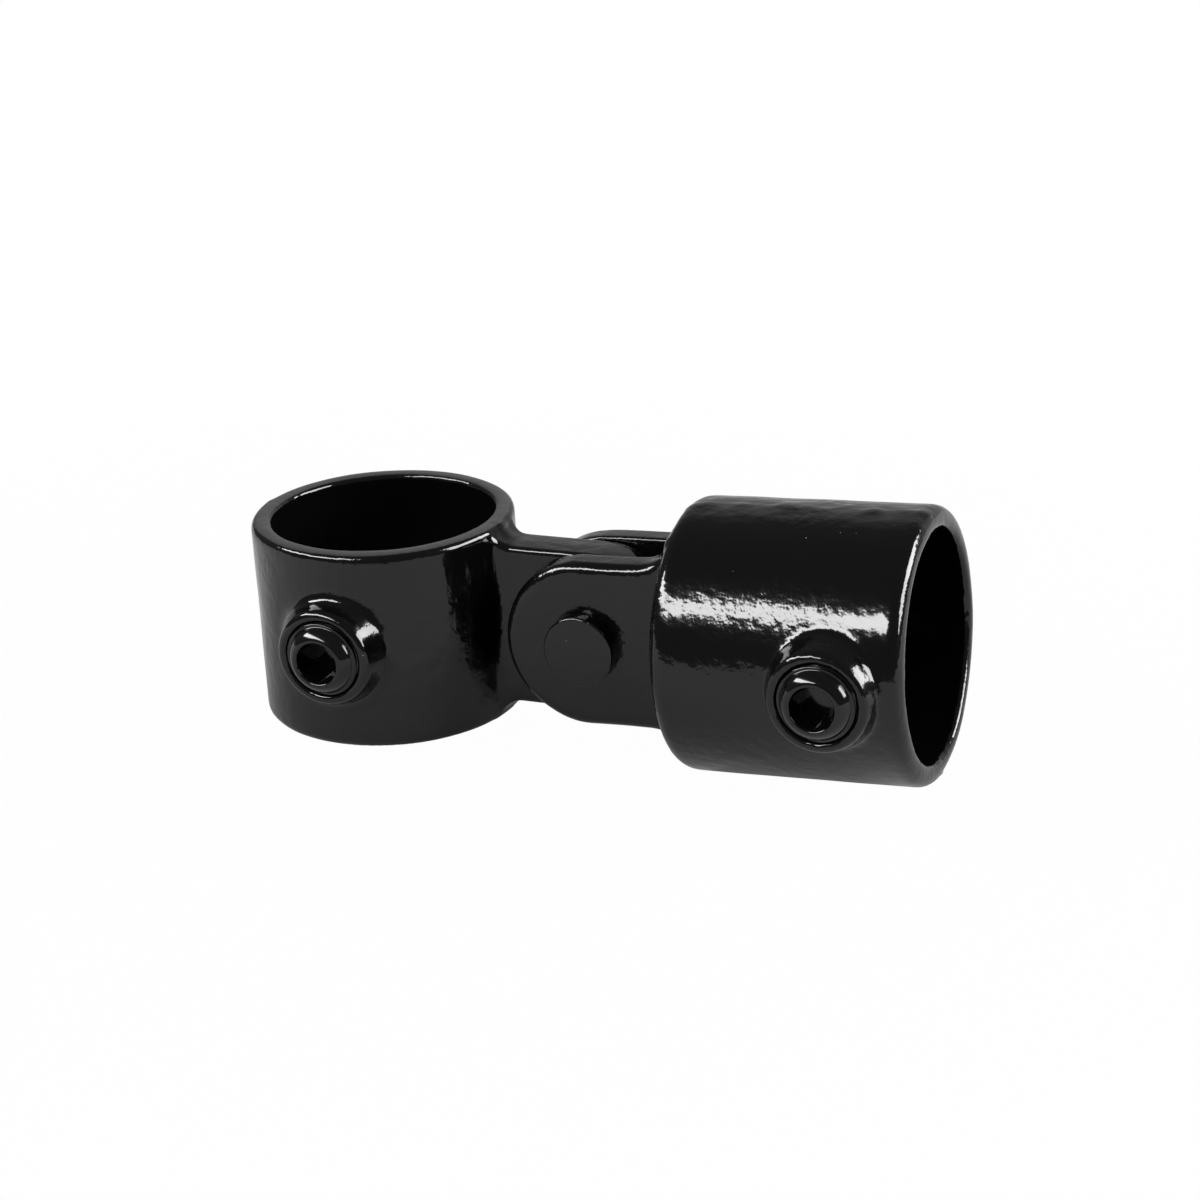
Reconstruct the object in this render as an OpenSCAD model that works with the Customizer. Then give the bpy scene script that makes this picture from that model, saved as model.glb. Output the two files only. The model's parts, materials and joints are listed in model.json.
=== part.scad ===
// Swivel key clamp for round tube, in millimetres.
// A collar slides along one tube, a blind socket takes the end of a second tube, and a riveted
// tongue-and-fork swivel joins the two. One socket-head set screw in a boss locks each tube.
// The collar's bore stands on the origin along Z, the swivel pin lies along Y, and the socket
// points along +X.

/* [Bores] */
// Bore of the collar and of the socket, a loose fit on 48.3 tube
bore_d = 50; // [40:0.5:62]
// Rounding where a bore meets its rim
mouth_r = 0.8; // [0.4:0.1:1.2]

/* [Collar] */
// Wall of the collar's barrel
collar_wall = 4.5; // [3.5:0.1:7]
// Height of the collar along its bore
collar_h = 45; // [42:0.5:70]
// Rounding of the collar's outer rims
collar_rim_r = 1.5; // [0.5:0.1:2]

/* [Socket] */
// Wall of the socket's barrel
socket_wall = 4.8; // [4:0.1:7]
// Depth of the socket's bore, from its mouth to its floor
socket_depth = 49; // [40:0.5:90]
// Thickness of the socket's closed end
socket_floor_t = 6; // [4:0.5:10]
// Rounding of the socket's outer rims
socket_rim_r = 2.8; // [1:0.1:3]
// Distance from the socket's mouth to its set screw
socket_screw_inset = 16.4; // [15:0.1:24]

/* [Swivel] */
// Rest angle of the socket above the straight line through the collar
rest_angle = 2.5; // [-60:0.1:60]
// Radius of the tongue's round end, also half its height
tongue_r = 18.4; // [15:0.1:19]
// Thickness of the tongue
tongue_t = 10; // [7:0.1:12]
// Rounding of the tongue's edges
tongue_edge_r = 0.6; // [0.5:0.1:1.5]
// Radius of each fork ear's round end, also half its height
ear_r = 18.8; // [15:0.1:19]
// Thickness of each fork ear
ear_t = 7; // [5:0.1:10]
// Rounding of the ears' edges
ear_edge_r = 1.6; // [0.5:0.1:2]
// Play between the tongue and each ear
ear_play = 0.35; // [0.3:0.05:0.6]
// Gap between the ears' round ends and the collar
ear_end_gap = 4.2; // [4:0.1:8]
// Gap between the tongue's round end and the socket's closed end
tongue_end_gap = 2.5; // [2.5:0.1:8]
// Root fillet where the tongue meets the collar
tongue_root_r = 3; // [1.5:0.1:3.4]
// Root fillet where the ears meet the socket's closed end
ear_root_r = 2; // [1:0.1:2.4]

/* [Rivet] */
// Diameter of the rivet's shank
shank_d = 12.7; // [8:0.1:16]
// Running clearance of the shank in the tongue, on the radius
shank_play = 0.06; // [0.03:0.01:0.1]
// Clearance of the shank in the ears, on the radius
ear_hole_play = 0.02; // [0.01:0.01:0.05]
// How far the rivet's heads reach past the shank
head_lip = 1.65; // [1:0.05:4]
// Height of the rivet's plain head
head_h = 3.8; // [2:0.1:6]
// Height of the rivet's formed tail
tail_h = 2.6; // [2:0.1:5]
// Rounding of the plain head's edge
head_edge_r = 0.5; // [0.2:0.1:1]
// Rounding of the formed tail's edge
tail_edge_r = 1.8; // [0.5:0.1:1.9]

/* [Set screws] */
// Outside diameter of the screw thread, a 3/8 inch parallel pipe thread
thread_d = 16.66; // [12:0.02:18]
// Running clearance of the screw in its hole, on the radius
thread_play = 0.08; // [0.05:0.01:0.1]
// Length of a set screw
screw_len = 11.6; // [11:0.1:14]
// How far the screw's coned end stands out of its boss
screw_stand = 2.6; // [2.4:0.1:4]
// Width across the flats of the hexagon socket
hex_af = 8; // [5:0.5:8]
// Depth of the hexagon socket
hex_depth = 6.5; // [5:0.5:7]
// Height of the coned end above the thread
cone_h = 2.7; // [2:0.1:3]
// Countersink at the hexagon socket's mouth, past its corners
key_sink = 0.7; // [0.3:0.1:0.9]
// Width of the flat rim around the hexagon socket's mouth
key_rim_w = 0.35; // [0.2:0.05:0.6]
// Chamfer on the screw's point
point_chamfer = 1; // [0.5:0.1:1.5]
// Depth of the cup in the screw's point
cup_depth = 1.4; // [0.5:0.1:2]

/* [Bosses] */
// Height of a set-screw boss above its barrel
boss_h = 4.8; // [3:0.1:6]
// Wall of the boss around the screw hole, at its face
boss_wall = 2.2; // [1.6:0.1:3]
// Draft of the boss's side
boss_draft = 15.4; // [5:0.2:20]
// Rounding of the boss's face edge
boss_edge_r = 1; // [0.4:0.1:1.2]
// Reach of the blend between the boss's side and its barrel
boss_root_r = 2.6; // [1:0.1:3]
// Countersink at the hole's mouth, on the radius
hole_sink = 0.45; // [0.2:0.05:0.6]

/* [Hidden] */
$fn = 96;

// Colours of the powder coat and of the blackened screws
coat = [0.03, 0.03, 0.035];
blackened = [0.05, 0.05, 0.055];

// Overlap that carries a cut or a root past the face it works on
spill = 1;
// Excess of a fillet's arc over its centre distance, so that it crosses its faces cleanly
fillet_over = 1.01;

// Outside diameters of the barrels
collar_od = bore_d + 2 * collar_wall;
socket_od = bore_d + 2 * socket_wall;

// Where the swivel's pieces lie: the ears clear the collar and the tongue clears the socket
ear_inner_y = tongue_t / 2 + ear_play;
ear_outer_y = ear_inner_y + ear_t;
pivot_x = collar_od / 2 + ear_end_gap + ear_r;
socket_face_x = tongue_r + tongue_end_gap;
socket_mouth_x = socket_face_x + socket_floor_t + socket_depth;
socket_screw_x = socket_mouth_x - socket_screw_inset;

// Steps of the bosses' surfaces: sides around, arcs down the face edge and the blend, and how far
// the blend's rim sinks into the wall
boss_sides = 48;
edge_steps = 3;
blend_steps = 5;
blend_sink = 0.25;
foot_tries = 8;

// Set-screw hole, and the boss around it
hole_r = thread_d / 2 + thread_play;
boss_face_r = hole_r + boss_wall;

// Piece that a rounding of radius r takes off a corner at the origin, from stock on +x and +y
module corner_cut(r) {
    difference() {
        translate([-spill, -spill])
            square(r + spill);
        translate([r, r])
            circle(r);
    }
}

// Section of a root fillet of radius r between two walls, which are the lines x = 0 and y = 0
module fillet_section(r) {
    difference() {
        translate([-spill, -spill])
            square(r + spill);
        translate([r, r])
            circle(r * fillet_over);
    }
}

// Rectangle from the origin to [w, h], with its two outer corners at x = w rounded
module outer_rounded(w, h, low_r, high_r) {
    difference() {
        square([w, h]);
        translate([w, 0])
            mirror([1, 0])
                corner_cut(low_r);
        translate([w, h])
            rotate(180)
                corner_cut(high_r);
    }
}

// Rectangle of w by h about the origin, with its four corners rounded
module rounded_rect(w, h, r) {
    difference() {
        square([w, h], center = true);
        for (sx = [0, 1], sy = [0, 1])
            mirror([sx, 0])
                mirror([0, sy])
                    translate([-w / 2, -h / 2])
                        corner_cut(r);
    }
}

// Solid barrel along Z from the origin, with rounded rims
module barrel(d, h, rim_r) {
    rotate_extrude()
        outer_rounded(d / 2, h, rim_r, rim_r);
}

// Flared end of a bore of diameter d whose mouth is at the origin and opens along +Z
module bore_mouth(d) {
    rotate_extrude() {
        translate([0, -mouth_r])
            square([d / 2, mouth_r + spill]);
        translate([d / 2, 0])
            mirror([0, 1])
                corner_cut(mouth_r);
    }
}

// Upright plate along +X with a full round end about the Y axis and rounded edges
module rounded_plate(r, t, edge_r, reach) {
    rotate([90, 0, 0])
        rotate([0, 0, 90])
            rotate_extrude(angle = 180)
                translate([0, -t / 2])
                    outer_rounded(r, t, edge_r, edge_r);
    rotate([90, 0, 90])
        linear_extrude(reach)
            rounded_rect(t, 2 * r, edge_r);
}

// Root fillet along a plate's straight side: a strip of length l along Z about the origin
module root_strip(l, r) {
    translate([0, 0, -l / 2])
        linear_extrude(l)
            fillet_section(r);
}

// Root fillet round a plate of t by 2 * half_h with edges of edge_r, where it meets the wall x = 0
// from the -X side
module plate_root(t, half_h, edge_r, r) {
    flat_y = t / 2 - edge_r;
    flat_z = half_h - edge_r;
    for (side = [0, 1])
        mirror([0, side, 0])
            translate([0, t / 2, 0])
                mirror([1, 0, 0])
                    root_strip(2 * flat_z, r);
    for (side = [0, 1])
        mirror([0, 0, side])
            translate([0, 0, half_h])
                rotate([90, 0, 0])
                    mirror([1, 0, 0])
                        root_strip(2 * flat_y, r);
    for (sy = [0, 1], sz = [0, 1])
        mirror([0, sy, 0])
            mirror([0, 0, sz])
                translate([0, flat_y, flat_z])
                    rotate([0, -90, 0])
                        rotate_extrude(angle = 90)
                            root_corner_section(edge_r, r);
}

// Section of a root fillet that turns round a plate's rounded edge
module root_corner_section(edge_r, r) {
    difference() {
        translate([0, -spill])
            square([edge_r + r, r + spill]);
        translate([edge_r + r, r])
            circle(r * fillet_over);
    }
}

// Height of a barrel's wall of radius wall_r above its axis, at radius rho and angle a round a boss
function wall_z(wall_r, rho, a) = sqrt(pow(wall_r, 2) - pow(rho * cos(a), 2));

// Radius at which a boss's drafted side, which starts at [edge_rho, edge_z], runs into the barrel's wall
function side_foot(wall_r, edge_rho, edge_z, a, rho, tries) =
    tries == 0 ? rho
    : side_foot(wall_r, edge_rho, edge_z, a,
        edge_rho + (edge_z - wall_z(wall_r, rho, a)) * tan(boss_draft), tries - 1);

// Point of a root blend at t, from 0 on the boss's side to 1 on the barrel's wall
function blend_point(side, foot, wall, t) = pow(1 - t, 2) * side + 2 * t * (1 - t) * foot + pow(t, 2) * wall;

// Outline of a boss at angle a, from its face down its side and out along the blend, as [radius, height]
function boss_outline(wall_r, a) =
    let (
        edge_centre = [boss_face_r - boss_edge_r, wall_r + boss_h - boss_edge_r],
        edge = [for (i = [0:edge_steps])
            let (turn = 90 - (90 - boss_draft) * i / edge_steps)
            edge_centre + boss_edge_r * [cos(turn), sin(turn)]],
        side_top = edge[edge_steps],
        foot_rho = side_foot(wall_r, side_top.x, side_top.y, a, side_top.x, foot_tries),
        foot = [foot_rho, wall_z(wall_r, foot_rho, a)],
        side = foot + boss_root_r * [-sin(boss_draft), cos(boss_draft)],
        wall_rho = foot_rho + boss_root_r,
        wall = [wall_rho, wall_z(wall_r, wall_rho, a)],
        blend = [for (i = [0:blend_steps - 1]) blend_point(side, foot, wall, i / blend_steps)],
        sunk_rho = wall_rho + blend_sink
    )
    concat(edge, blend, [[sunk_rho, wall_z(wall_r, sunk_rho, a) - blend_sink]]);

// Boss along +Z from the axis of a barrel of diameter d that lies along Y, blended into its wall
module boss(d) {
    wall_r = d / 2;
    outlines = [for (i = [0:boss_sides - 1]) boss_outline(wall_r, 360 * i / boss_sides)];
    rows = len(outlines[0]);
    points = [for (i = [0:boss_sides - 1], p = outlines[i])
        let (a = 360 * i / boss_sides)
        [p.x * cos(a), p.x * sin(a), p.y]];
    face_centre = len(points);
    root_centre = face_centre + 1;
    faces = [for (i = [0:boss_sides - 1])
        let (here = i * rows, next = ((i + 1) % boss_sides) * rows)
        each concat(
            [[face_centre, next, here]],
            [for (j = [0:rows - 2]) each [
                [here + j, next + j, here + j + 1],
                [next + j, next + j + 1, here + j + 1]]],
            [[root_centre, here + rows - 1, next + rows - 1]])];
    polyhedron(concat(points, [[0, 0, wall_r + boss_h], [0, 0, bore_d / 2 + spill]]), faces);
}

// Screw hole with its countersink, along +Z from the axis of a barrel of diameter d
module screw_hole(d) {
    face_z = d / 2 + boss_h;
    cylinder(r = hole_r, h = face_z + spill);
    translate([0, 0, face_z - hole_sink])
        cylinder(r1 = hole_r, r2 = hole_r + hole_sink + spill, h = hole_sink + spill);
}

// Carries a piece that points along +Z so that it points along -Y
module facing_front() {
    rotate([90, 0, 0])
        children();
}

// Carries a piece from the swivel pin's own place to where the socket rests
module at_rest() {
    translate([pivot_x, 0, 0])
        rotate([0, -rest_angle, 0])
            children();
}

// Root fillets at the tongue's flanks, tangent to its sides and to the collar's round wall
module tongue_flank_roots() {
    wall_r = collar_od / 2;
    centre_y = tongue_t / 2 + tongue_root_r;
    centre_x = sqrt(pow(wall_r + tongue_root_r, 2) - pow(centre_y, 2));
    flank_h = 2 * (tongue_r - tongue_edge_r);
    for (side = [0, 1])
        mirror([0, side, 0])
            translate([0, 0, -flank_h / 2])
                linear_extrude(flank_h)
                    difference() {
                        polygon([
                            [wall_r - 2 * spill, 0],
                            [centre_x, 0],
                            [centre_x, centre_y],
                            [centre_x * wall_r / (wall_r + tongue_root_r),
                                centre_y * wall_r / (wall_r + tongue_root_r)],
                            [wall_r - 2 * spill, tongue_t / 2]
                        ]);
                        translate([centre_x, centre_y])
                            circle(tongue_root_r * fillet_over);
                    }
}

// Root fillets above and below the tongue, against the collar's wall
module tongue_cap_roots() {
    flat_t = tongue_t - 2 * tongue_edge_r;
    for (side = [0, 1])
        mirror([0, 0, side])
            translate([collar_od / 2, 0, tongue_r])
                rotate([90, 0, 0])
                    root_strip(flat_t, tongue_root_r);
}

// Collar with its tongue and boss, one iron casting
module collar_casting() {
    color(coat)
        difference() {
            union() {
                translate([0, 0, -collar_h / 2])
                    barrel(collar_od, collar_h, collar_rim_r);
                translate([pivot_x, 0, 0])
                    mirror([1, 0, 0])
                        rounded_plate(tongue_r, tongue_t, tongue_edge_r, pivot_x - bore_d / 2 + spill);
                tongue_flank_roots();
                tongue_cap_roots();
                facing_front()
                    boss(collar_od);
            }
            cylinder(d = bore_d, h = collar_h + 2 * spill, center = true);
            for (side = [0, 1])
                mirror([0, 0, side])
                    translate([0, 0, collar_h / 2])
                        bore_mouth(bore_d);
            facing_front()
                screw_hole(collar_od);
            translate([pivot_x, 0, 0])
                rotate([90, 0, 0])
                    cylinder(r = shank_d / 2 + shank_play, h = tongue_t + 2 * spill, center = true);
        }
}

// Socket with its fork and boss, one iron casting, about the swivel pin and along +X
module socket_form() {
    difference() {
        union() {
            translate([socket_face_x, 0, 0])
                rotate([0, 90, 0])
                    barrel(socket_od, socket_floor_t + socket_depth, socket_rim_r);
            for (side = [0, 1])
                mirror([0, side, 0])
                    translate([0, (ear_inner_y + ear_outer_y) / 2, 0]) {
                        rounded_plate(ear_r, ear_t, ear_edge_r, socket_face_x + spill);
                        translate([socket_face_x, 0, 0])
                            plate_root(ear_t, ear_r, ear_edge_r, ear_root_r);
                    }
            translate([socket_screw_x, 0, 0])
                facing_front()
                    rotate(90)
                        boss(socket_od);
        }
        translate([socket_mouth_x, 0, 0])
            rotate([0, 90, 0]) {
                translate([0, 0, -socket_depth])
                    cylinder(d = bore_d, h = socket_depth + spill);
                bore_mouth(bore_d);
            }
        translate([socket_screw_x, 0, 0])
            facing_front()
                screw_hole(socket_od);
        rotate([90, 0, 0])
            cylinder(r = shank_d / 2 + ear_hole_play, h = 2 * (ear_outer_y + spill), center = true);
    }
}

module socket_casting() {
    color(coat)
        at_rest()
            socket_form();
}

// Rivet through the fork and the tongue: a plain head in front and a formed tail behind
module pivot_rivet() {
    head_r = shank_d / 2 + head_lip;
    color(coat)
        translate([pivot_x, 0, 0])
            facing_front()
                rotate_extrude() {
                    translate([0, -ear_outer_y])
                        square([shank_d / 2, 2 * ear_outer_y]);
                    translate([0, ear_outer_y])
                        difference() {
                            square([head_r, head_h]);
                            translate([head_r, head_h])
                                rotate(180)
                                    corner_cut(head_edge_r);
                        }
                    translate([0, -ear_outer_y - tail_h])
                        difference() {
                            square([head_r, tail_h]);
                            translate([head_r, 0])
                                mirror([1, 0])
                                    corner_cut(tail_edge_r);
                        }
                }
}

// Set screw with a coned end, a hexagon socket and a cup point, along +Z from its point
module set_screw() {
    thread_r = thread_d / 2;
    hex_r = hex_af / 2 / cos(30);
    key_mouth_r = hex_r + key_sink;
    key_sink_depth = key_mouth_r - hex_af / 2;
    difference() {
        rotate_extrude()
            difference() {
                polygon([
                    [0, 0],
                    [thread_r, 0],
                    [thread_r, screw_len - cone_h],
                    [key_mouth_r + key_rim_w, screw_len],
                    [0, screw_len]
                ]);
                polygon([
                    [thread_r - point_chamfer, 0],
                    [thread_r + spill, -spill],
                    [thread_r + spill, point_chamfer + spill],
                    [thread_r, point_chamfer]
                ]);
                polygon([
                    [0, -spill],
                    [thread_r - 2 * point_chamfer, -spill],
                    [thread_r - 2 * point_chamfer, 0],
                    [0, cup_depth]
                ]);
            }
        translate([0, 0, screw_len - hex_depth])
            cylinder(r = hex_r, h = hex_depth + spill, $fn = 6);
        translate([0, 0, screw_len - key_sink_depth])
            cylinder(r1 = hex_af / 2, r2 = key_mouth_r + spill, h = key_sink_depth + spill);
    }
}

module collar_set_screw() {
    color(blackened)
        facing_front()
            translate([0, 0, collar_od / 2 + boss_h + screw_stand - screw_len])
                set_screw();
}

module socket_set_screw() {
    color(blackened)
        at_rest()
            translate([socket_screw_x, 0, 0])
                facing_front()
                    translate([0, 0, socket_od / 2 + boss_h + screw_stand - screw_len])
                        set_screw();
}

collar_casting();
socket_casting();
pivot_rivet();
collar_set_screw();
socket_set_screw();
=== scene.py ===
import json
import math

import bmesh
import bpy
from mathutils import Matrix, Vector, noise


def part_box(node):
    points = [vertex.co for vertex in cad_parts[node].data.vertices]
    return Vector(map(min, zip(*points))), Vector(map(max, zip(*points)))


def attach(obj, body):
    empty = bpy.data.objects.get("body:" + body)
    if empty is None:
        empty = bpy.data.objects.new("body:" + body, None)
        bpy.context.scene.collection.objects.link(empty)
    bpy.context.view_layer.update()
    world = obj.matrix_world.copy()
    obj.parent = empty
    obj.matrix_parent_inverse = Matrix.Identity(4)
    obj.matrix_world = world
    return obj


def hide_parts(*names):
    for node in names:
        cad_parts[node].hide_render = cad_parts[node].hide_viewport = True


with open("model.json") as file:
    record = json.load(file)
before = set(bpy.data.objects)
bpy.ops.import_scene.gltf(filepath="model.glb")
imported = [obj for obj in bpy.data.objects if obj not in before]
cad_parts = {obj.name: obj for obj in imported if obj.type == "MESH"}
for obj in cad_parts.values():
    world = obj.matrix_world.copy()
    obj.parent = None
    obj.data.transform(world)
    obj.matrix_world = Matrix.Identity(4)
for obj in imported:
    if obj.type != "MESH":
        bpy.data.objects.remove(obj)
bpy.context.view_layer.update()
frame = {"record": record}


# Collar casting: an open ring that slides along one tube, with the tongue of the swivel on its side
# and a drafted boss for its set screw. Grey iron, sand cast in a mould that parts on the plane Y = 0,
# its flash ground off, then powder coated gloss black.
MM = 0.001
TINY = 1e-6

mounts = {mount["name"]: mount for mount in frame["record"]["mounts"]}
swivel = next(joint for joint in frame["record"]["behaviour"]["joints"] if joint["name"] == "swivel")
pivot = Vector(swivel["pos_m"])
collar_low, collar_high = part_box("collar_casting")
bore_r = mounts["collar_bore"]["dims"]["r_mm"] * MM
bore_edge_r = 0.8 * MM
collar_r = collar_high.y
collar_top = collar_high.z
collar_rim_r = 1.5 * MM
tongue_r = collar_high.x - pivot.x
tongue_t = 10 * MM
tongue_edge_r = 0.7 * MM
tongue_root_r = 3 * MM
tongue_top_root_r = 3.9 * MM
tongue_sink = 0.15 * MM
draft = math.radians(3)
pin_hole_r = 6.6 * MM
boss_face_r = 10.6 * MM
boss_draft = math.radians(15.4)
boss_edge_r = 1 * MM
boss_foot = 25.6 * MM
boss_root_reach = 3.4 * MM
screw_hole_r = 8.55 * MM
screw_hole_sink = 0.45 * MM
boss_rim_clear = 1.8 * MM
boss_root_depth = 20 * MM
collar_grain = 0.512 * MM
cast_passes = 4
collar_root_passes = 40
collar_plate_wave_h = 0.03 * MM
collar_flash_h = 0.25 * MM
collar_seed = 3.1
skin_depth = 1 * MM
tongue_clear = 3 * MM

ROUND_STEPS = 192
ARC_STEPS = 6
BURY = 2 * MM
TO_FRONT = Matrix.Rotation(math.radians(90), 4, "X")


def turned(outline, roundings):
    """Spins a closed outline of (radius, height) corners about Z, each corner rounded by its radius."""
    bm = bmesh.new()
    corners = [bm.verts.new((radius, 0, height)) for radius, height in outline]
    bm.faces.new(corners)
    for corner, rounding in zip(corners, roundings):
        if rounding:
            bmesh.ops.bevel(bm, geom=[corner], affect="VERTICES", offset=rounding,
                            segments=ARC_STEPS, profile=0.5, material=-1)
    bmesh.ops.delete(bm, geom=bm.faces[:], context="FACES_ONLY")
    on_axis = [edge for edge in bm.edges if all(abs(vert.co.x) < TINY for vert in edge.verts)]
    bmesh.ops.delete(bm, geom=on_axis, context="EDGES")
    bmesh.ops.spin(bm, geom=bm.verts[:] + bm.edges[:], cent=(0, 0, 0), axis=(0, 0, 1),
                   angle=math.tau, steps=ROUND_STEPS, use_merge=True)
    bmesh.ops.remove_doubles(bm, verts=bm.verts, dist=TINY)
    bmesh.ops.recalc_face_normals(bm, faces=bm.faces)
    return bm


def upright_plate(radius, thickness, front_edge_r, back_edge_r, wall_x, side_root_r, top_root_r):
    """A plate in the XZ plane, round about the origin, along +X and flared into a wall at wall_x."""
    flat, end_on = 0.9, 0.999
    bm = bmesh.new()
    bmesh.ops.create_circle(bm, cap_ends=True, segments=ROUND_STEPS // 2, radius=radius)
    bmesh.ops.rotate(bm, verts=bm.verts, cent=(0, 0, 0), matrix=Matrix.Rotation(math.radians(90), 3, "X"))
    bmesh.ops.bisect_plane(bm, geom=bm.verts[:] + bm.edges[:] + bm.faces[:], dist=TINY,
                           plane_co=(0, 0, 0), plane_no=(1, 0, 0), clear_outer=True)
    straight = [edge for edge in bm.edges if all(abs(vert.co.x) < TINY for vert in edge.verts)]
    drawn = bmesh.ops.extrude_edge_only(bm, edges=straight)["geom"]
    bmesh.ops.translate(bm, verts=[part for part in drawn if isinstance(part, bmesh.types.BMVert)],
                        vec=(wall_x - max(side_root_r, top_root_r), 0, 0))
    raised = bmesh.ops.extrude_face_region(bm, geom=bm.faces[:], use_keep_orig=True)["geom"]
    bmesh.ops.translate(bm, verts=[part for part in raised if isinstance(part, bmesh.types.BMVert)],
                        vec=(0, thickness, 0))
    bmesh.ops.translate(bm, verts=bm.verts, vec=(0, -thickness / 2, 0))
    bmesh.ops.recalc_face_normals(bm, faces=bm.faces)

    def at_root(face):
        return abs(face.normal.x) >= end_on and face.calc_center_median().x >= 0

    for side, edge_r in ((-1, front_edge_r), (1, back_edge_r)):
        rims = [edge for edge in bm.edges
                if sum(face.normal.y * side > flat for face in edge.link_faces) == 1
                and not any(at_root(face) for face in edge.link_faces)]
        bmesh.ops.bevel(bm, geom=rims, affect="EDGES", offset=edge_r,
                        segments=ARC_STEPS, profile=0.5, material=-1)

    def flare(x, root_r):
        into_root = min(max(x - wall_x + root_r, 0), root_r)
        return root_r - math.sqrt(root_r ** 2 - into_root ** 2)

    half_t, half_h = thickness / 2, radius
    end_x = wall_x - max(side_root_r, top_root_r)
    leans = [math.radians(90) * step / ARC_STEPS for step in range(ARC_STEPS + 1)]
    stops = sorted({wall_x - root_r + root_r * math.sin(lean)
                    for root_r in (side_root_r, top_root_r) for lean in leans})
    for next_x in stops[1:] + [wall_x + BURY]:
        next_t = thickness / 2 + flare(next_x, side_root_r)
        next_h = radius + flare(next_x, top_root_r)
        root = max(bm.faces, key=lambda face: face.calc_center_median().x)
        grown = bmesh.ops.extrude_discrete_faces(bm, faces=[root])["faces"][0]
        bmesh.ops.translate(bm, verts=grown.verts, vec=(next_x - end_x, 0, 0))
        bmesh.ops.scale(bm, verts=grown.verts, vec=(1, next_t / half_t, next_h / half_h))
        half_t, half_h, end_x = next_t, next_h, next_x
    return bm


def drafted(bm, parting_y, deepest):
    """Lets an upright plate grow taller towards the plane where the mould parts, so that it draws."""
    bmesh.ops.bisect_plane(bm, geom=bm.verts[:] + bm.edges[:] + bm.faces[:], dist=TINY,
                           plane_co=(0, parting_y, 0), plane_no=(0, 1, 0))
    half_h = max(vert.co.z for vert in bm.verts if abs(vert.co.y - parting_y) < deepest)
    for vert in bm.verts:
        rise = (deepest - abs(vert.co.y - parting_y)) * math.tan(draft)
        vert.co.z *= 1 + max(rise, 0) / half_h


def moved(bm, matrix):
    """The shape, carried by a matrix."""
    bmesh.ops.transform(bm, matrix=matrix, verts=bm.verts)
    bmesh.ops.recalc_face_normals(bm, faces=bm.faces)
    return bm


def as_object(name, bm):
    """A scene object at the origin that holds the shape."""
    mesh = bpy.data.meshes.new(name)
    bm.to_mesh(mesh)
    bm.free()
    piece = bpy.data.objects.new(name, mesh)
    bpy.context.collection.objects.link(piece)
    return piece


def boolean_steps(piece, tools, operation):
    """Joins the tools to a piece, or cuts them from it, one after another."""
    for tool in tools:
        step = piece.modifiers.new("shape", "BOOLEAN")
        step.operation = operation
        step.solver = "EXACT"
        step.object = tool


def baked(piece, tools):
    """The piece's mesh with its modifiers applied, as a bmesh; the piece and its tools are cleared away."""
    mesh = bpy.data.meshes.new_from_object(piece.evaluated_get(bpy.context.evaluated_depsgraph_get()))
    bm = bmesh.new()
    bm.from_mesh(mesh)
    bpy.data.meshes.remove(mesh)
    for part in [piece] + tools:
        bpy.data.meshes.remove(part.data)
    return bm


def cast_skin(solids, cores, grain):
    """One closed skin over the solids, less the cores, in even squares of the grain's size."""
    parts = [as_object("pattern", bm) for bm in solids]
    holes = [as_object("core", bm) for bm in cores]
    boolean_steps(parts[0], parts[1:], "UNION")
    boolean_steps(parts[0], holes, "DIFFERENCE")
    skin = parts[0].modifiers.new("skin", "REMESH")
    skin.mode = "VOXEL"
    skin.voxel_size = grain
    return baked(parts[0], parts[1:] + holes)


def softened(bm, verts, passes):
    """Rounds a cast surface off, a little more with each pass."""
    for _ in range(passes):
        bmesh.ops.smooth_vert(bm, verts=verts, factor=0.5,
                              use_axis_x=True, use_axis_y=True, use_axis_z=True)


def sand_cast(bm, outside, on_plate, plate_wave_h, flash_h, seed):
    """Gives a casting its mould's slow waves, and the ground flash and the step where the mould parted."""
    wave_h, wave_l = 0.09 * MM, 9 * MM
    flash_w, flash_l = 2.4 * MM, 4 * MM
    step_h, step_w = 0.1 * MM, 0.5 * MM
    flat, flash_left = 0.9, 0.4
    bm.normal_update()
    shifts = []
    for vert in bm.verts:
        height = plate_wave_h if on_plate(vert.co) and abs(vert.normal.y) < flat else wave_h
        shift = vert.normal * height * noise.noise(vert.co / wave_l + Vector((seed, 0, 0)))
        if outside(vert.co):
            ground = max(flash_left + noise.noise(vert.co / flash_l + Vector((0, seed, 0))), 0)
            shift += vert.normal * flash_h * ground * math.exp(-(vert.co.y / flash_w) ** 2)
            shift += vert.normal * step_h * (1 - math.tanh(vert.co.y / step_w)) / 2
        shifts.append(shift)
    for vert, shift in zip(bm.verts, shifts):
        vert.co += shift


def boss(face_y):
    """A set-screw boss that points along -Y to its face at face_y, with the core of its screw hole."""
    foot_r = boss_face_r + (face_y - boss_foot) * math.tan(boss_draft)
    stud = turned([(0, boss_foot), (foot_r, boss_foot), (boss_face_r, face_y), (0, face_y)],
                  [0, 0, boss_edge_r, 0])
    core = turned([(0, bore_r / 2), (screw_hole_r, bore_r / 2), (screw_hole_r, face_y - screw_hole_sink),
                   (screw_hole_r + screw_hole_sink + BURY, face_y + BURY), (0, face_y + BURY)], [0] * 5)
    return moved(stud, TO_FRONT), moved(core, TO_FRONT)


def boss_root(place, face_y):
    """Tells whether a point lies in the blend round a boss that stands at place."""
    foot_r = boss_face_r + (face_y - boss_foot) * math.tan(boss_draft)

    def near(point):
        reach = math.hypot(point.x - place.x, point.z - place.z)
        on_side = -face_y + boss_rim_clear < point.y < -boss_root_depth
        return abs(reach - foot_r) < boss_root_reach and on_side
    return near


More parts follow.
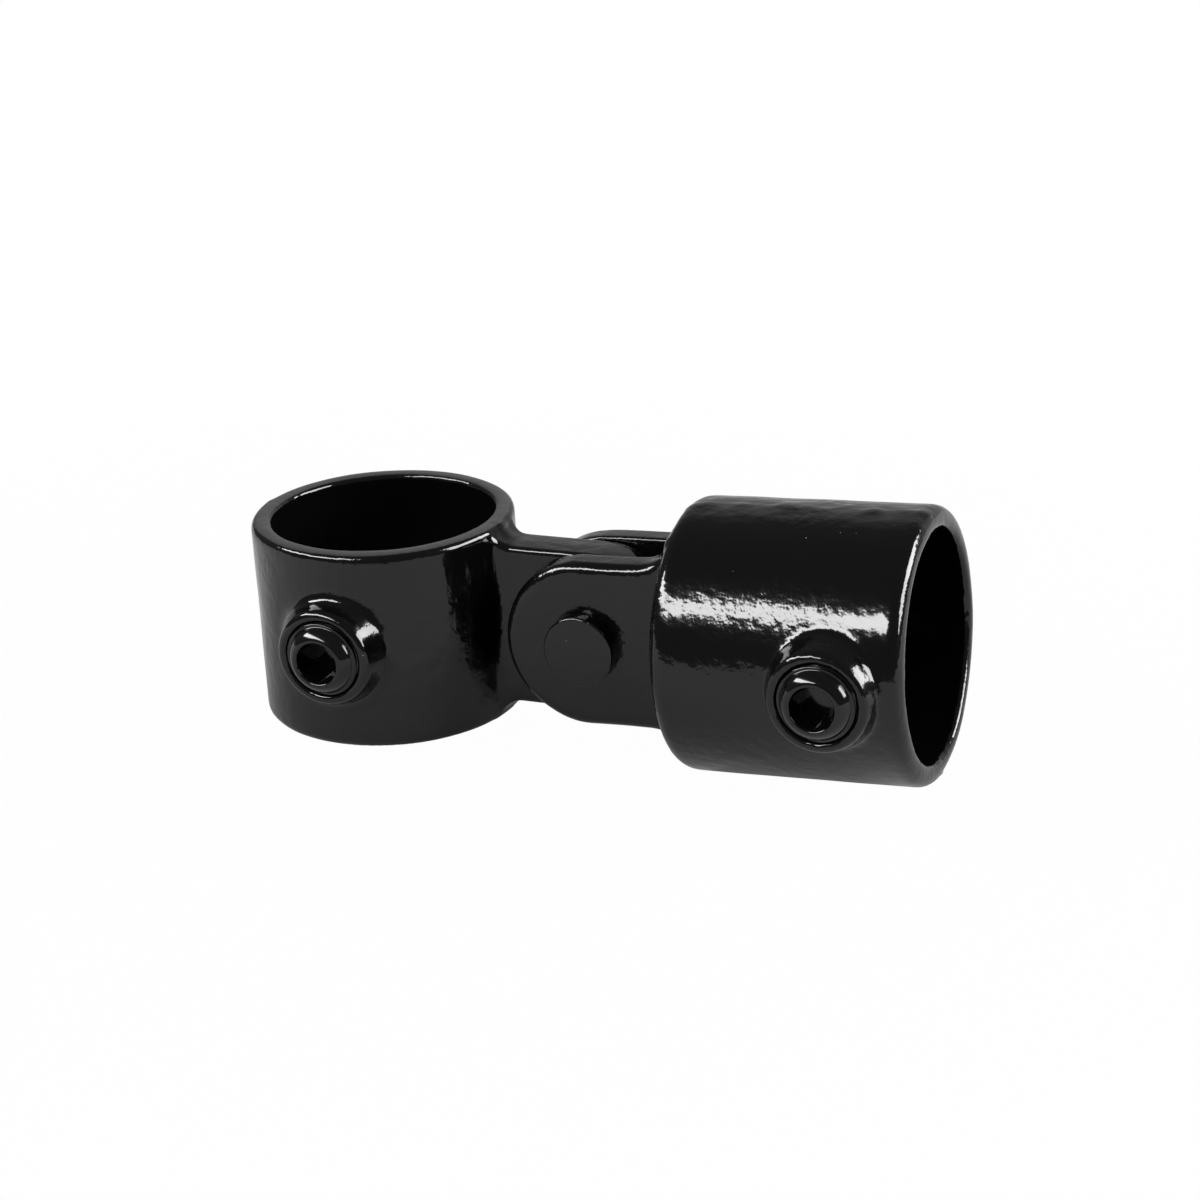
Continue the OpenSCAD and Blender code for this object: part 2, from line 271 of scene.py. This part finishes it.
def pin_core(half_l, place):
    """The core of the hole that the pivot runs in, along Y at a place."""
    core = turned([(0, -half_l), (pin_hole_r, -half_l), (pin_hole_r, half_l), (0, half_l)], [0] * 4)
    return moved(core, place @ TO_FRONT)


def on_ring(point):
    """Tells whether a point lies on the outside of the ring, clear of the tongue."""
    return math.hypot(point.x, point.y) > collar_r - skin_depth and point.x < collar_r + tongue_clear


def on_tongue(point):
    """Tells whether a point lies on the tongue, clear of the ring."""
    return point.x > collar_r + tongue_clear


collar_ring = turned([(bore_r, -collar_top), (collar_r, -collar_top),
                      (collar_r, collar_top), (bore_r, collar_top)],
                     [bore_edge_r, collar_rim_r, collar_rim_r, bore_edge_r])
tongue = moved(upright_plate(tongue_r, tongue_t, tongue_edge_r, tongue_edge_r,
                             pivot.x - collar_r + tongue_sink, tongue_root_r, tongue_top_root_r),
               Matrix.Translation(pivot) @ Matrix.Rotation(math.pi, 4, "Z"))
for vert in tongue.verts:
    into_root = (collar_r + tongue_top_root_r - vert.co.x) / tongue_top_root_r
    vert.co.x -= min(max(into_root, 0), 1) * (collar_r - math.sqrt(collar_r ** 2 - vert.co.y ** 2))
drafted(tongue, 0, tongue_t / 2)
collar_stud, collar_core = boss(-collar_low.y)
tongue_core = pin_core(tongue_t, Matrix.Translation(pivot))

collar_bm = cast_skin([collar_ring, tongue, collar_stud], [collar_core, tongue_core], collar_grain)
softened(collar_bm, collar_bm.verts, cast_passes)
in_collar_root = boss_root(Vector((0, 0, 0)), -collar_low.y)
softened(collar_bm, [vert for vert in collar_bm.verts if in_collar_root(vert.co)], collar_root_passes)
sand_cast(collar_bm, on_ring, on_tongue, collar_plate_wave_h, collar_flash_h, collar_seed)

collar = as_object("collar_cast", collar_bm)
collar.data.shade_smooth()


def noise_node(nodes, links, coords, scale, detail, roughness):
    """A noise texture on the given coordinates."""
    node = nodes.new("ShaderNodeTexNoise")
    node.inputs["Detail"].default_value = detail
    node.inputs["Roughness"].default_value = roughness
    links.new(coords, node.inputs["Vector"])
    links.new(scale, node.inputs["Scale"])
    return node.outputs["Fac"]


def math_node(nodes, links, operation, *values):
    """A math node on sockets and plain numbers."""
    node = nodes.new("ShaderNodeMath")
    node.operation = operation
    for socket, value in zip(node.inputs, values):
        if isinstance(value, bpy.types.NodeSocket):
            links.new(value, socket)
        else:
            socket.default_value = value
    return node.outputs["Value"]


def new_group(name, inputs, outputs):
    """An empty shader group with float inputs, each with its value, and float outputs."""
    group = bpy.data.node_groups.new(name, "ShaderNodeTree")
    for socket_name, value in inputs:
        socket = group.interface.new_socket(socket_name, in_out="INPUT", socket_type="NodeSocketFloat")
        socket.default_value = value
    for socket_name in outputs:
        group.interface.new_socket(socket_name, in_out="OUTPUT", socket_type="NodeSocketFloat")
    return group


def coat_relief():
    """Group: the grain of a cast skin under its coat, rougher in patches, and the coat's own slow waves."""
    patch_from, patch_to = 0.3, 0.7
    group = new_group("coat_relief", (("Grain per metre", 900), ("Waves per metre", 260), ("Wave share", 1),
                                      ("Patches per metre", 45), ("Least grain", 0)), ("Height", "Patches"))
    nodes, links = group.nodes, group.links
    given = nodes.new("NodeGroupInput").outputs
    result = nodes.new("NodeGroupOutput").inputs
    coords = nodes.new("ShaderNodeTexCoord").outputs["Object"]
    grain = noise_node(nodes, links, coords, given["Grain per metre"], 2, 0.5)
    waves = noise_node(nodes, links, coords, given["Waves per metre"], 1, 0.5)
    patches = nodes.new("ShaderNodeMapRange")
    patches.interpolation_type = "SMOOTHSTEP"
    patches.inputs["From Min"].default_value = patch_from
    patches.inputs["From Max"].default_value = patch_to
    links.new(given["Least grain"], patches.inputs["To Min"])
    links.new(noise_node(nodes, links, coords, given["Patches per metre"], 1, 0.5), patches.inputs["Value"])
    grain = math_node(nodes, links, "MULTIPLY", grain, patches.outputs["Result"])
    waves = math_node(nodes, links, "MULTIPLY", waves, given["Wave share"])
    links.new(math_node(nodes, links, "ADD", grain, waves), result["Height"])
    links.new(patches.outputs["Result"], result["Patches"])
    return group


def dust_specks():
    """Group: a mask of the few fine specks that lie on a coat."""
    group = new_group("dust_specks", (("Specks per metre", 300), ("Speck radius", 0.045), ("Share", 0.09)),
                      ("Mask",))
    nodes, links = group.nodes, group.links
    given = nodes.new("NodeGroupInput").outputs
    cells = nodes.new("ShaderNodeTexVoronoi")
    links.new(nodes.new("ShaderNodeTexCoord").outputs["Object"], cells.inputs["Vector"])
    links.new(given["Specks per metre"], cells.inputs["Scale"])
    pick = nodes.new("ShaderNodeSeparateColor")
    links.new(cells.outputs["Color"], pick.inputs["Color"])
    chosen = math_node(nodes, links, "LESS_THAN", pick.outputs["Red"], given["Share"])
    inside = math_node(nodes, links, "LESS_THAN", cells.outputs["Distance"], given["Speck radius"])
    speck = math_node(nodes, links, "MULTIPLY", chosen, inside)
    links.new(speck, nodes.new("NodeGroupOutput").inputs["Mask"])
    return group


def rubbed_ends():
    """Group: a mask of the two flat ends that a piece stands on, where its coat is rubbed."""
    worn_through = 0.4
    group = new_group("rubbed_ends", (("End height", 1), ("Depth", 0.3 * MM)), ("Mask",))
    nodes, links = group.nodes, group.links
    given = nodes.new("NodeGroupInput").outputs
    place = nodes.new("ShaderNodeSeparateXYZ")
    links.new(nodes.new("ShaderNodeTexCoord").outputs["Object"], place.inputs["Vector"])
    below = math_node(nodes, links, "SUBTRACT", given["End height"],
                      math_node(nodes, links, "ABSOLUTE", place.outputs["Z"]))
    wear = nodes.new("ShaderNodeMapRange")
    wear.interpolation_type = "SMOOTHSTEP"
    wear.inputs["To Min"].default_value = 1
    wear.inputs["To Max"].default_value = 0
    links.new(below, wear.inputs["Value"])
    links.new(math_node(nodes, links, "MULTIPLY", given["Depth"], worn_through), wear.inputs["From Min"])
    links.new(given["Depth"], wear.inputs["From Max"])
    links.new(wear.outputs["Result"], nodes.new("NodeGroupOutput").inputs["Mask"])
    return group


def placed(nodes, group, **values):
    """A node group placed in a material, with its own values."""
    node = nodes.new("ShaderNodeGroup")
    node.node_tree = group
    for name, value in values.items():
        node.inputs[name.replace("_", " ")].default_value = value
    return node


def black_coat(name, relief, relief_h, dark, roughness, end_height):
    """A gloss black finish over the relief, dusted with a few specks and rubbed at its end height."""
    rubbed, rubbed_roughness = (0.034, 0.034, 0.0345), 0.35
    dust_grey = (0.16, 0.16, 0.17)
    material = bpy.data.materials.new(name)
    material.use_nodes = True
    nodes, links = material.node_tree.nodes, material.node_tree.links
    shader = nodes["Principled BSDF"]
    bump = nodes.new("ShaderNodeBump")
    bump.inputs["Strength"].default_value = 1
    bump.inputs["Distance"].default_value = relief_h
    skin = placed(nodes, relief_group, **relief)
    links.new(skin.outputs["Height"], bump.inputs["Height"])
    links.new(bump.outputs["Normal"], shader.inputs["Normal"])
    ends = placed(nodes, ends_group, End_height=end_height)
    coat = nodes.new("ShaderNodeMix")
    coat.data_type = "RGBA"
    coat.inputs["A"].default_value = (*dark, 1)
    coat.inputs["B"].default_value = (*rubbed, 1)
    links.new(ends.outputs["Mask"], coat.inputs["Factor"])
    dust = placed(nodes, dust_group)
    colour = nodes.new("ShaderNodeMix")
    colour.data_type = "RGBA"
    colour.inputs["B"].default_value = (*dust_grey, 1)
    links.new(coat.outputs["Result"], colour.inputs["A"])
    links.new(dust.outputs["Mask"], colour.inputs["Factor"])
    links.new(colour.outputs["Result"], shader.inputs["Base Color"])
    gloss = nodes.new("ShaderNodeMapRange")
    gloss.inputs["To Min"].default_value = roughness[0]
    gloss.inputs["To Max"].default_value = roughness[1]
    links.new(skin.outputs["Patches"], gloss.inputs["Value"])
    matt = nodes.new("ShaderNodeMix")
    matt.inputs["B"].default_value = rubbed_roughness
    links.new(gloss.outputs["Result"], matt.inputs["A"])
    links.new(ends.outputs["Mask"], matt.inputs["Factor"])
    links.new(matt.outputs["Result"], shader.inputs["Roughness"])
    return material


relief_group = coat_relief()
dust_group = dust_specks()
ends_group = rubbed_ends()
coat_black = (0.0016, 0.0016, 0.0018)
NOT_RUBBED = 1
collar_relief = {"Grain_per_metre": 700, "Waves_per_metre": 260, "Wave_share": 2}
collar_relief_h = 0.09 * MM
collar_roughness = (0.08, 0.13)
collar_coat = black_coat("powder_coat_collar", collar_relief, collar_relief_h, coat_black,
                         collar_roughness, collar_top)
collar.data.materials.append(collar_coat)
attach(collar, "collar")
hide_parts("collar_casting")


# Socket casting: a barrel with a closed end that takes the end of the other tube, with the two ears
# of the swivel's fork on its closed end and a boss for its set screw. Iron, cast and coated as the
# collar is; it rests a little raised from the straight line.
socket_low, socket_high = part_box("socket_casting")
socket_axis = Vector(mounts["socket_bore"]["axis"])
socket_mid = (Vector(mounts["socket_bore"]["pos_m"]) - pivot).dot(socket_axis)
socket_r = socket_high.y
socket_depth = 49 * MM
socket_mouth = socket_mid + socket_depth / 2
socket_floor = socket_mid - socket_depth / 2
socket_floor_t = 6 * MM
socket_face = socket_floor - socket_floor_t
socket_rim_r = 2.8 * MM
socket_heel_r = 3.8 * MM
screw_from_mouth = 16.4 * MM
socket_screw = Vector((socket_mouth - screw_from_mouth, 0, 0))
ear_r = 18.8 * MM
ear_t = 7 * MM
ear_edge_r = 2 * MM
ear_slot_edge_r = 0.4 * MM
ear_side_root_r = 2 * MM
ear_top_root_r = 7 * MM
ear_y = 8.85 * MM
socket_grain = 0.608 * MM
socket_root_passes = 2
socket_plate_wave_h = 0.16 * MM
socket_flash_h = 0.35 * MM
socket_seed = 7.7
ear_clear = 2 * MM

at_rest = Matrix.Translation(pivot) @ Matrix.Rotation(-math.atan2(socket_axis.z, socket_axis.x), 4, "Y")


def on_barrel(point):
    """Tells whether a point lies on the outside of the barrel."""
    return math.hypot(point.y, point.z) > socket_r - skin_depth


def on_ears(point):
    """Tells whether a point lies on the ears, clear of the barrel."""
    return point.x < socket_face - ear_clear


barrel = moved(turned([(0, socket_face), (socket_r, socket_face), (socket_r, socket_mouth),
                       (bore_r, socket_mouth), (bore_r, socket_floor), (0, socket_floor)],
                      [0, socket_heel_r, socket_rim_r, bore_edge_r, bore_edge_r, 0]),
               Matrix.Rotation(math.radians(90), 4, "Y"))
near_ear = moved(upright_plate(ear_r, ear_t, ear_edge_r, ear_slot_edge_r, socket_face,
                               ear_side_root_r, ear_top_root_r), Matrix.Translation((0, -ear_y, 0)))
far_ear = moved(upright_plate(ear_r, ear_t, ear_slot_edge_r, ear_edge_r, socket_face,
                              ear_side_root_r, ear_top_root_r), Matrix.Translation((0, ear_y, 0)))
for ear in (near_ear, far_ear):
    drafted(ear, 0, ear_y + ear_t / 2)
socket_stud, socket_core = [moved(part, Matrix.Translation(socket_screw)) for part in boss(-socket_low.y)]
ear_core = pin_core(2 * ear_y, Matrix.Identity(4))

socket_bm = cast_skin([barrel, near_ear, far_ear, socket_stud], [socket_core, ear_core], socket_grain)
softened(socket_bm, socket_bm.verts, cast_passes)
in_socket_root = boss_root(socket_screw, -socket_low.y)
softened(socket_bm, [vert for vert in socket_bm.verts if in_socket_root(vert.co)], socket_root_passes)
sand_cast(socket_bm, on_barrel, on_ears, socket_plate_wave_h, socket_flash_h, socket_seed)

socket = as_object("socket_cast", moved(socket_bm, at_rest))
socket.data.shade_smooth()
socket_relief = {"Grain_per_metre": 480, "Waves_per_metre": 260, "Wave_share": 0.6, "Least_grain": 0.3}
socket_relief_h = 0.17 * MM
socket_roughness = (0.08, 0.14)
socket_coat = black_coat("powder_coat_socket", socket_relief, socket_relief_h, coat_black,
                         socket_roughness, NOT_RUBBED)
socket.data.materials.append(socket_coat)
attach(socket, "socket")
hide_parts("socket_casting")


# Pivot rivet: the pin of the swivel, a plain round head in front and a formed tail behind. Steel,
# closed cold through the fork and the tongue, and coated with them.
rivet_low, rivet_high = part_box("pivot_rivet")
shank_r = 6.35 * MM
head_r = (rivet_high.x - rivet_low.x) / 2
head_seat = 12.35 * MM
head_edge_r = 0.5 * MM
tail_edge_r = 1.8 * MM
rivet_crease = math.radians(40)

rivet_bm = turned([(0, -rivet_high.y), (head_r, -rivet_high.y), (head_r, -head_seat), (shank_r, -head_seat),
                   (shank_r, head_seat), (head_r, head_seat), (head_r, -rivet_low.y), (0, -rivet_low.y)],
                  [0, tail_edge_r, 0, 0, 0, 0, head_edge_r, 0])
rivet = as_object("pivot_rivet_closed", moved(rivet_bm, Matrix.Translation(pivot) @ TO_FRONT))
rivet.data.shade_smooth()
rivet.data.set_sharp_from_angle(angle=rivet_crease)
rivet.data.materials.append(collar_coat)
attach(rivet, "socket")
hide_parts("pivot_rivet")


# Set screws: one in each boss, with a parallel pipe thread, a domed end with a hexagon socket for the
# key, and a cup point that bites the tube. Hardened steel, turned, thread rolled and blackened.
thread_r = 8.33 * MM
thread_root_r = 7.5 * MM
thread_pitch = 1.337 * MM
groove_end, crest_start, crest_end = 0.15, 0.45, 0.7
collar_screw_low, collar_screw_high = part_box("collar_set_screw")
screw_len = collar_screw_high.y - collar_screw_low.y
cone_h = 2.7 * MM
hex_af = 8 * MM
hex_r = hex_af / 2 / math.cos(math.radians(30))
hex_depth = 6.5 * MM
key_mouth_clear = 0.25 * MM
key_mouth_r = hex_r + key_mouth_clear
key_rim_w = 0.8 * MM
point_chamfer = 1 * MM
cup_r = 6.3 * MM
cup_depth = 1.4 * MM
cup_rim_r = 0.2 * MM
crown_foot_r = 7.7 * MM
crown_shares = ((0.243, 0.397), (0.582, 0.736))
shoulder_rise = 0.3 * MM
shoulder_round = 0.3 * MM
crown_foot_round = 0.25 * MM
crown_round = 0.45 * MM
crown_top_round = 0.4 * MM
key_mouth_round = 0.25 * MM
sink_share = 0.95
sink_steepness = 2.6
screw_crease = math.radians(35)
TURN_STEPS = 64


def threaded_bar():
    """A bar along Z with a rolled thread, longer than the screw at both ends."""
    spare = 0.5 * MM
    weld, on_plane = 1e-7, 1e-8
    bm = bmesh.new()
    flanks = [(thread_root_r, 0), (thread_root_r, groove_end), (thread_r, crest_start),
              (thread_r, crest_end), (thread_root_r, 1)]
    ring = [bm.verts.new((radius, 0, share * thread_pitch)) for radius, share in flanks]
    for lower, upper in zip(ring, ring[1:]):
        bm.edges.new((lower, upper))
    turns = math.ceil(screw_len / thread_pitch) + 3
    bmesh.ops.translate(bm, verts=bm.verts, vec=(0, 0, -2 * thread_pitch))
    bmesh.ops.spin(bm, geom=bm.verts[:] + bm.edges[:], cent=(0, 0, 0), axis=(0, 0, 1),
                   angle=math.tau * turns, steps=TURN_STEPS * turns, dvec=(0, 0, thread_pitch / TURN_STEPS))
    bmesh.ops.remove_doubles(bm, verts=bm.verts, dist=weld)
    for end, up in ((-spare, -1), (screw_len + spare, 1)):
        bmesh.ops.bisect_plane(bm, geom=bm.verts[:] + bm.edges[:] + bm.faces[:], dist=on_plane,
                               plane_co=(0, 0, end), plane_no=(0, 0, up), clear_outer=True)
        bmesh.ops.contextual_create(bm, geom=[edge for edge in bm.edges if edge.is_boundary
                                              and all(abs(vert.co.z - end) < TINY for vert in edge.verts)])
    bmesh.ops.recalc_face_normals(bm, faces=bm.faces)
    return bm


def set_screw():
    """A set screw along +Z from its point: a threaded bar within a turned blank with its key hole cut."""
    blank_clear = 0.05 * MM
    blank_r = thread_r + blank_clear
    shoulder = screw_len - cone_h + shoulder_rise
    sink_r = sink_share * hex_af / 2
    sink = sink_steepness * (key_mouth_r - sink_r)
    crown_top_r = key_mouth_r + key_rim_w
    crown = [(crown_foot_r + share_r * (crown_top_r - crown_foot_r),
              shoulder + share_z * (screw_len - shoulder)) for share_r, share_z in crown_shares]
    bar = as_object("bar", threaded_bar())
    blank = as_object("blank", turned(
        [(0, cup_depth), (cup_r, 0), (thread_r - point_chamfer, 0), (blank_r, point_chamfer),
         (blank_r, shoulder), (crown_foot_r, shoulder), *crown, (crown_top_r, screw_len),
         (key_mouth_r, screw_len), (sink_r, screw_len - sink), (0, screw_len - sink)],
        [0, cup_rim_r, cup_rim_r, 0, shoulder_round, crown_foot_round, crown_round, crown_round,
         crown_top_round, key_mouth_round, 0, 0]))
    key = bmesh.new()
    bmesh.ops.create_cone(key, cap_ends=True, segments=6, radius1=hex_r, radius2=hex_r, depth=2 * hex_depth)
    key = as_object("key", moved(key, Matrix.Translation((0, 0, screw_len))))
    boolean_steps(blank, [key], "DIFFERENCE")
    boolean_steps(bar, [blank], "INTERSECT")
    bm = baked(bar, [blank, key])
    bmesh.ops.remove_doubles(bm, verts=bm.verts, dist=TINY)
    bmesh.ops.dissolve_degenerate(bm, edges=bm.edges, dist=TINY)
    return bm


screw_relief = {"Grain_per_metre": 900, "Waves_per_metre": 300, "Wave_share": 0.8}
screw_relief_h = 0.012 * MM
screw_black = (0.002, 0.002, 0.0022)
screw_roughness = (0.06, 0.14)
blackened = black_coat("blackened_screw_steel", screw_relief, screw_relief_h, screw_black,
                       screw_roughness, NOT_RUBBED)
socket_screw_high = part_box("socket_set_screw")[1]
screw_places = (
    ("collar_screw_steel", "collar_set_screw", "collar_screw",
     Matrix.Translation((0, collar_screw_high.y, 0))),
    ("socket_screw_steel", "socket_set_screw", "socket_screw",
     at_rest @ Matrix.Translation((socket_screw.x, socket_screw_high.y, 0))),
)
for name, node, body, place in screw_places:
    screw = as_object(name, moved(set_screw(), place @ TO_FRONT))
    screw.data.shade_smooth()
    screw.data.set_sharp_from_angle(angle=screw_crease)
    screw.data.materials.append(blackened)
    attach(screw, body)
    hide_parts(node)


# Camera: where the photograph was taken from, a little above the clamp and to its right, with a
# slight roll.
camera_azimuth = math.radians(22.963)
camera_height = math.radians(21.341)
camera_roll = math.radians(-3.009)
camera_reach = 593.97 * MM
camera_aim = Vector((51.624, 0, 6.05)) * MM
camera_lens = 81.17
camera_sensor = 36

back = Vector((math.sin(camera_azimuth) * math.cos(camera_height),
               -math.cos(camera_azimuth) * math.cos(camera_height), math.sin(camera_height)))
level = Vector((math.cos(camera_azimuth), math.sin(camera_azimuth), 0))
upright = back.cross(level)
right = math.cos(camera_roll) * level + math.sin(camera_roll) * upright
up = back.cross(right)
camera_data = bpy.data.cameras.new("photograph")
camera_data.lens = camera_lens
camera_data.sensor_width = camera_sensor
camera = bpy.data.objects.new("photograph", camera_data)
camera_turn = Matrix((right, up, back)).transposed().to_4x4()
camera.matrix_world = Matrix.Translation(camera_aim + camera_reach * back) @ camera_turn
bpy.context.collection.objects.link(camera)
bpy.context.scene.camera = camera


# Floor: the pale table that the clamp lies on, touched by the collar's lower left edge and by the
# lower edge of the socket's closed end. To the camera it is all but clear, with white behind it, so
# that it keeps a faint shadow and doesn't hide the socket when that swings down past it. In the
# clamp's reflections part of it glows white, a larger part towards the left: painted light, a
# painted reflection of a table lit more on its left.
floor_left = Vector((-28, 0, -22.5)) * MM
floor_right = Vector((77.5, 0, -28.74)) * MM
floor_front, floor_behind, floor_side = -0.36, 1.6, 1.2
floor_white = 0.38
near_clear, far_clear = 0.985, 1
clear_from, clear_to = 0.12, 0.35
# Painted reflection: the share of white glow that reflections see, from the left value to the right value
# along X.
painted_glow_left, painted_glow_right = 0.4, 0.17
painted_glow_from, painted_glow_to = -90 * MM, -20 * MM

slope = (floor_right - floor_left).normalized()
floor_mid = (floor_left + floor_right) / 2
floor_bm = bmesh.new()
for along, across in ((-floor_side, floor_front), (floor_side, floor_front),
                      (floor_side, floor_behind), (-floor_side, floor_behind)):
    floor_bm.verts.new(floor_mid + slope * along + Vector((0, across, 0)))
floor_bm.faces.new(floor_bm.verts)
floor = as_object("floor", floor_bm)

table_white = bpy.data.materials.new("table_white")
table_white.use_nodes = True
nodes, links = table_white.node_tree.nodes, table_white.node_tree.links
nodes.clear()
paths = nodes.new("ShaderNodeLightPath").outputs
away = nodes.new("ShaderNodeVectorMath")
away.operation = "DISTANCE"
away.inputs[1].default_value = floor_mid
links.new(nodes.new("ShaderNodeTexCoord").outputs["Object"], away.inputs[0])
fade = nodes.new("ShaderNodeMapRange")
fade.interpolation_type = "SMOOTHSTEP"
fade.inputs["From Min"].default_value = clear_from
fade.inputs["From Max"].default_value = clear_to
fade.inputs["To Min"].default_value = near_clear
fade.inputs["To Max"].default_value = far_clear
links.new(away.outputs["Value"], fade.inputs["Value"])
along_floor = nodes.new("ShaderNodeSeparateXYZ")
links.new(nodes.new("ShaderNodeTexCoord").outputs["Object"], along_floor.inputs["Vector"])
# Painted reflection: reflections see more of the white glow towards the left of the table.
painted_glow = nodes.new("ShaderNodeMapRange")
painted_glow.interpolation_type = "SMOOTHSTEP"
painted_glow.inputs["From Min"].default_value = painted_glow_from
painted_glow.inputs["From Max"].default_value = painted_glow_to
painted_glow.inputs["To Min"].default_value = painted_glow_left
painted_glow.inputs["To Max"].default_value = painted_glow_right
links.new(along_floor.outputs["X"], painted_glow.inputs["Value"])
bounced = math_node(nodes, links, "MAXIMUM", paths["Is Glossy Ray"], paths["Is Transmission Ray"])
reflected = math_node(nodes, links, "MULTIPLY", bounced, painted_glow.outputs["Result"])
seen = math_node(nodes, links, "MULTIPLY", paths["Is Camera Ray"], fade.outputs["Result"])
matt = nodes.new("ShaderNodeBsdfDiffuse")
matt.inputs["Color"].default_value = (floor_white, floor_white, floor_white, 1)
glow = nodes.new("ShaderNodeEmission")
lit = nodes.new("ShaderNodeMixShader")
links.new(reflected, lit.inputs[0])
links.new(matt.outputs["BSDF"], lit.inputs[1])
links.new(glow.outputs["Emission"], lit.inputs[2])
clear = nodes.new("ShaderNodeBsdfTransparent")
table_mix = nodes.new("ShaderNodeMixShader")
links.new(seen, table_mix.inputs[0])
links.new(lit.outputs["Shader"], table_mix.inputs[1])
links.new(clear.outputs["BSDF"], table_mix.inputs[2])
links.new(table_mix.outputs["Shader"], nodes.new("ShaderNodeOutputMaterial").inputs["Surface"])
floor.data.materials.append(table_white)


# Light: a wide soft box high on the left, a second one low on the right, and a room that is dim in
# front of the table and paler behind it.
light_aim = Vector((52, 0, 0)) * MM
soft_boxes = (
    ("key_box", -46, 39.6, 1.1, 1.3, 0.22, 17),
    ("side_box", 105, 23, 1.1, 0.9, 0.5, 22),
)
for name, azimuth, elevation, reach, width, height, power in soft_boxes:
    turn, lift = math.radians(azimuth), math.radians(elevation)
    towards = Vector((math.sin(turn) * math.cos(lift), -math.cos(turn) * math.cos(lift), math.sin(lift)))
    box_data = bpy.data.lights.new(name, "AREA")
    box_data.shape = "RECTANGLE"
    box_data.size = width
    box_data.size_y = height
    box_data.energy = power
    box = bpy.data.objects.new(name, box_data)
    box_turn = towards.to_track_quat("Z", "Y").to_matrix().to_4x4()
    box.matrix_world = Matrix.Translation(light_aim + reach * towards) @ box_turn
    box.visible_camera = False
    bpy.context.collection.objects.link(box)

room = bpy.data.worlds.new("room")
bpy.context.scene.world = room
room.use_nodes = True
nodes, links = room.node_tree.nodes, room.node_tree.links
background = nodes["Background"]
front_dim, back_pale = 0.12, 0.45
dim_end, pale_start = 0.55, 0.9
direction = nodes.new("ShaderNodeSeparateXYZ")
links.new(nodes.new("ShaderNodeTexCoord").outputs["Generated"], direction.inputs["Vector"])
depth = nodes.new("ShaderNodeMapRange")
depth.interpolation_type = "SMOOTHSTEP"
depth.inputs["From Min"].default_value = dim_end
depth.inputs["From Max"].default_value = pale_start
depth.inputs["To Min"].default_value = front_dim
depth.inputs["To Max"].default_value = back_pale
links.new(direction.outputs["Y"], depth.inputs["Value"])
paths = nodes.new("ShaderNodeLightPath").outputs
links.new(math_node(nodes, links, "MAXIMUM", paths["Is Camera Ray"], depth.outputs["Result"]),
          background.inputs["Strength"])
background.inputs["Color"].default_value = (1, 1, 1, 1)

bpy.context.scene.view_settings.view_transform = "Standard"
